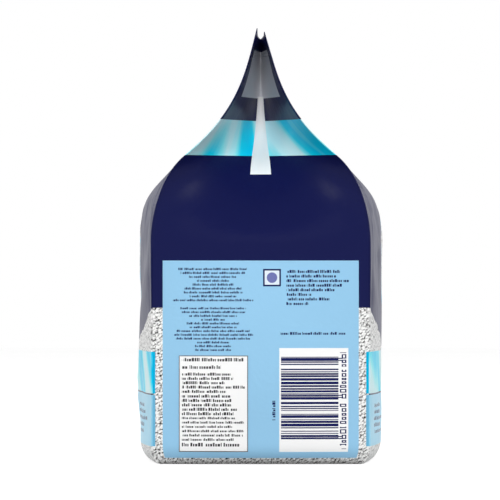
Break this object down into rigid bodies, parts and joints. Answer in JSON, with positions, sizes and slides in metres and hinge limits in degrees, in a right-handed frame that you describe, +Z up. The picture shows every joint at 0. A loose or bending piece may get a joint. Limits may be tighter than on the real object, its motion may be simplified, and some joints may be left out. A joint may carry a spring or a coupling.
{
  "type": "cat litter bag",
  "caption": "Filled plastic film bag with folded side gussets and a flat sealed mouth, standing upright, with a paper label stuck on one gusset.",
  "frame": {"origin": "middle of the base, on the floor", "axes": "+Z up, +X from the back panel to the front panel, Y along the wide side, with the labelled gusset facing -Y"},
  "size_m": [0.136, 0.2605, 0.24],
  "materials": {
    "printed_film": "glossy printed polyethylene film",
    "label_paper": "matt coated label paper"
  },
  "bodies": {
    "root": {"filled_bag": "printed_film", "adhesive_label": "label_paper"}
  },
  "joints": []
}
